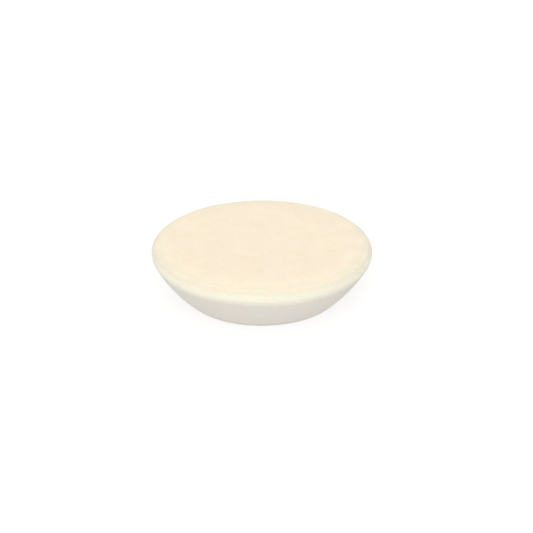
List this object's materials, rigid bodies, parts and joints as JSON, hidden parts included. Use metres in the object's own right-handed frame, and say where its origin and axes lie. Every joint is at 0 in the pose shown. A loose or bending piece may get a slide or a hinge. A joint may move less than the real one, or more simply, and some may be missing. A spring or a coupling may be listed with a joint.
{
  "type": "felt polishing wheel",
  "caption": "Spin-on felt polishing wheel: a pressed felt head with a flat round face and tapered side, on a riveted backing plate with a threaded hub.",
  "frame": {"origin": "centre of the back, in the plane that the felt skirt rests on", "axes": "+Z along the wheel's axis towards the working face; X and Y lie in the resting plane, and +X passes through a rivet"},
  "size_m": [0.1016, 0.1016, 0.0254],
  "materials": {
    "felt": "matte",
    "cement": "satin",
    "laminate": "satin",
    "steel": "satin",
    "rivet": "satin"
  },
  "bodies": {
    "root": {"felt_head": "felt", "contact_cement": "cement", "backing_plate": "laminate", "threaded_hub": "steel", "hub_rivets": "rivet", "rivet_washers": "steel"}
  },
  "joints": []
}
